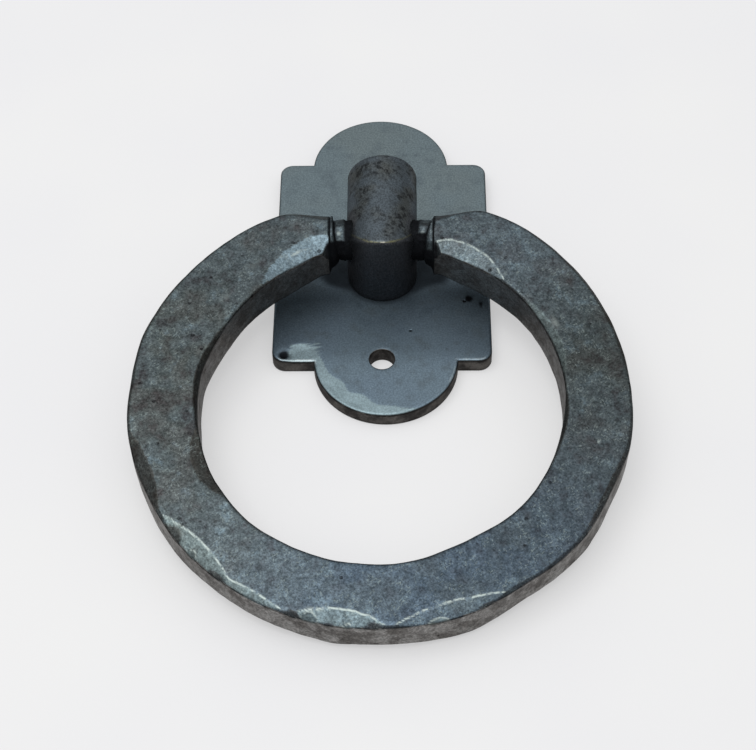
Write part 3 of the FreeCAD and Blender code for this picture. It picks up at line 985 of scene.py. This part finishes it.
def make_plate():
    """The lobed backplate with its rounded rim, filed band, screw holes and rivet hole."""
    base = plate_outline(0.0)
    rows = []
    marks = {"wall": [], "facet": [], "rim": [], "worn": []}

    def add_row(row, wall, facet, rim, worn=None):
        rows.append(row)
        marks["wall"] += [wall] * len(row)
        marks["facet"] += facet if facet else [0.0] * len(row)
        marks["rim"] += [rim] * len(row)
        marks["worn"] += worn if worn else [0.0] * len(row)

    under = plate_outline(0.35)
    add_row([Vector((x, y, 0.0)) for x, y in under], 1.0, None, 0.0)
    add_row([Vector((x, y, 0.12)) for x, y in plate_outline(0.1)], 1.0, None, 0.5)
    for z in (0.4, 1.2, 2.0, 2.8, 3.3):
        add_row([Vector((x, y, z)) for x, y in base], 1.0, None, 0.6 if z in (0.4, 3.3) else 0.0)
    for inset in RIM_INSETS:
        row = []
        facet = []
        worn = []
        for x, y in plate_outline(inset):
            point, filed_here = rim_point(x, y, inset)
            row.append(point)
            facet.append(filed_here)
            # Wear and a painted highlight: a bright line along the rounded lower edge.
            on_edge = 0.2 < inset < 0.6 and y < -29 and 15 < abs(x) < 23.5
            worn.append(on_edge * (1.0 if x < 0 else 0.4))
        add_row(row, 1.0 if inset < 0.1 else 0.0, facet, 0.8 if inset < 0.2 else 0.0, worn)
    points, faces = skin(rows)

    def add_face(outline, holes, height, spacing):
        flat, more = fill(outline, holes, spacing)
        start = len(points)
        points.extend(Vector((p.x, p.y, height(p.x, p.y))) for p in flat)
        faces.extend(tuple(start + i for i in face) for face in more)
        for name in marks:
            marks[name] += [0.0] * len(flat)

    screw_top = [(0, SCREW_Y, SCREW_RADIUS + 0.3), (0, -SCREW_Y, SCREW_RADIUS + 0.3)]
    inner = plate_outline(RIM_INSETS[-1])
    add_face(inner, screw_top + [(0, POST_Y, TENON_RADIUS)],
             lambda x, y: PLATE_THICK + wave(x, y), 0.62)
    screw_back = [(0, SCREW_Y, SCREW_RADIUS + 0.15), (0, -SCREW_Y, SCREW_RADIUS + 0.15)]
    add_face(under, screw_back + [(0, POST_Y, RIVET_RADIUS)], lambda x, y: 0.0, 2.0)

    for hx, hy, profile in (
            (0, SCREW_Y, SCREW_PROFILE), (0, -SCREW_Y, SCREW_PROFILE), (0, POST_Y, TENON_PROFILE)):
        loops = []
        for radius, z in profile:
            loop = hole_loop(hx, hy, radius)
            top = z >= PLATE_THICK
            loops.append([Vector((x, y, z + (wave(x, y) if top else 0.0))) for x, y in loop])
        more_points, more_faces = skin(loops)
        start = len(points)
        points += more_points
        faces += [tuple(start + i for i in face) for face in more_faces]
        for row, (radius, z) in enumerate(profile):
            marks["wall"] += [1.0 if 0 < row < len(profile) - 1 else 0.0] * len(loops[0])
            marks["facet"] += [0.0] * len(loops[0])
            marks["worn"] += [0.0] * len(loops[0])
            marks["rim"] += [0.5 if row == len(profile) - 2 else 0.0] * len(loops[0])
    marks["pit"] = [pitted(p.x, p.y) if p.z > 2 else 0.0 for p in points]
    # Painted shade: a band of the face under the ring is darkened.
    marks["shade"] = [1 - 0.26 * smooth_step((-6 - p.y) / 7) * smooth_step((p.y + 33) / 6)
                      * (1 - facet) for p, facet in zip(points, marks["facet"])]
    marks["soot"] = [sooty(p.x, p.y) if p.z > 2 else 0.0 for p in points]
    marks["blue"] = [smooth_step((12 - p.y) / 30) for p in points]
    return make_piece("lobed_plate", points, faces, marks)


SCREW_PROFILE = [(SCREW_RADIUS + 0.15, 0.0), (SCREW_RADIUS, 0.15), (SCREW_RADIUS, 1.5),
                 (SCREW_RADIUS, 3.0), (SCREW_RADIUS, 3.7), (SCREW_RADIUS + 0.1, 3.92),
                 (SCREW_RADIUS + 0.3, PLATE_THICK)]
TENON_PROFILE = [(RIVET_RADIUS, 0.0), (TENON_RADIUS, RIVET_DEPTH), (TENON_RADIUS, 2.5),
                 (TENON_RADIUS, PLATE_THICK)]

# ---------------------------------------------------------------- studio

VIEW_ELEVATION = math.radians(52)
VIEW_YAW = math.radians(-1.24)
VIEW_ROLL = math.radians(-1.19)
VIEW_TARGET = Vector((-0.941, -31.783, 0.0))
VIEW_DISTANCE = 434.588
LENS_MM = 91.03


def make_camera():
    """A camera in front of the ring's tip, looking down at the plate."""
    flat = math.cos(VIEW_ELEVATION)
    ahead = Vector((math.sin(VIEW_YAW) * flat, math.cos(VIEW_YAW) * flat,
                    -math.sin(VIEW_ELEVATION)))
    right = Vector((math.cos(VIEW_YAW), -math.sin(VIEW_YAW), 0))
    up = right.cross(ahead)
    level = Matrix.Rotation(-VIEW_ROLL, 3, ahead)
    right, up = level @ right, level @ up
    place = (VIEW_TARGET - ahead * VIEW_DISTANCE) * MM
    data = bpy.data.cameras.new("camera")
    data.sensor_width = 36
    data.lens = LENS_MM
    data.clip_start = 0.01
    camera = bpy.data.objects.new("camera", data)
    camera.matrix_world = Matrix.Translation(place) @ Matrix((right, up, -ahead)).transposed().to_4x4()
    bpy.context.scene.collection.objects.link(camera)
    bpy.context.scene.camera = camera


def make_floor():
    """A wide sheet of matt white paper."""
    half = 1500
    points = [(-half, -half, 0), (half, -half, 0), (half, half, 0), (-half, half, 0)]
    floor = make_piece("floor", [(x, y, -0.05) for x, y, z in points], [(0, 1, 2, 3)])
    material, tree, place, look = start_material(
        "paper_matt_white", {"fibres": (1.2, 3.0, 0.6), "cloud": (60.0, 2.0, 0.5)})
    shader = tree.nodes["Principled BSDF"]
    colour = lay(tree, linear("#959595"), [
        ("#929294", 1.0, (look["cloud"], 0.3, 0.7)),
        ("#8a8888", 0.12, (look["fibres"], 0.62, 0.8))])
    tree.links.new(colour, shader.inputs["Base Color"])
    shader.inputs["Roughness"].default_value = 0.95
    shader.inputs["Specular IOR Level"].default_value = 0.1
    # The sheet lies on a light table, which keeps its shadows thin.
    shader.inputs["Emission Color"].default_value = (1.0, 1.0, 1.005, 1.0)
    shader.inputs["Emission Strength"].default_value = 0.45
    normal = node(tree, "Bump", {"Height": look["fibres"], "Strength": 0.15, "Distance": 0.1 * MM})
    tree.links.new(normal, shader.inputs["Normal"])
    floor.data.materials.append(material)


def make_light():
    """A white room, brighter overhead, and one large softbox above the object."""
    world = bpy.data.worlds.new("room")
    bpy.context.scene.world = world
    world.use_nodes = True
    tree = world.node_tree
    background = tree.nodes["Background"]
    heading = node(tree, "TexCoord", {}, "Generated")
    height = node(tree, "SeparateXYZ", {0: heading}, "Z")
    strength = node(tree, "MapRange", {"Value": height, "From Max": 1.25, "To Min": 0.3,
                                       "To Max": 1.45}, interpolation_type="SMOOTHSTEP")
    tree.links.new(strength, background.inputs["Strength"])
    background.inputs["Color"].default_value = (1.0, 1.0, 1.0, 1.0)
    lamp = bpy.data.lights.new("softbox", "AREA")
    lamp.shape = "RECTANGLE"
    lamp.size = 0.9
    lamp.size_y = 0.7
    lamp.energy = 6.0
    box = bpy.data.objects.new("softbox", lamp)
    box.location = (-0.22, -0.18, 1.0)
    aim = Vector((0, 0, 0)) - box.location
    box.rotation_euler = aim.to_track_quat("-Z", "Y").to_euler()
    bpy.context.scene.collection.objects.link(box)
    bpy.context.scene.view_settings.view_transform = "Standard"


# ---------------------------------------------------------------- assembly

make_camera()
make_floor()
make_light()

ring = make_ring()
ring.data.materials.append(forged_ring_steel())
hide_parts("ring")
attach(ring, "ring")

plate = make_plate()
plate.data.materials.append(rolled_plate_steel())
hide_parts("backplate")
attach(plate, "mount")

post_steel = forged_post_steel()
for name, line_at, is_stem, cad_node in (("stem_bar", stem_line, True, "stem"),
                                         ("head_bar", head_line, False, "head")):
    bar = make_post_bar(name, line_at, is_stem)
    bar.data.materials.clear()
    bar.data.materials.append(post_steel)
    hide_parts(cad_node)
    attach(bar, "mount")
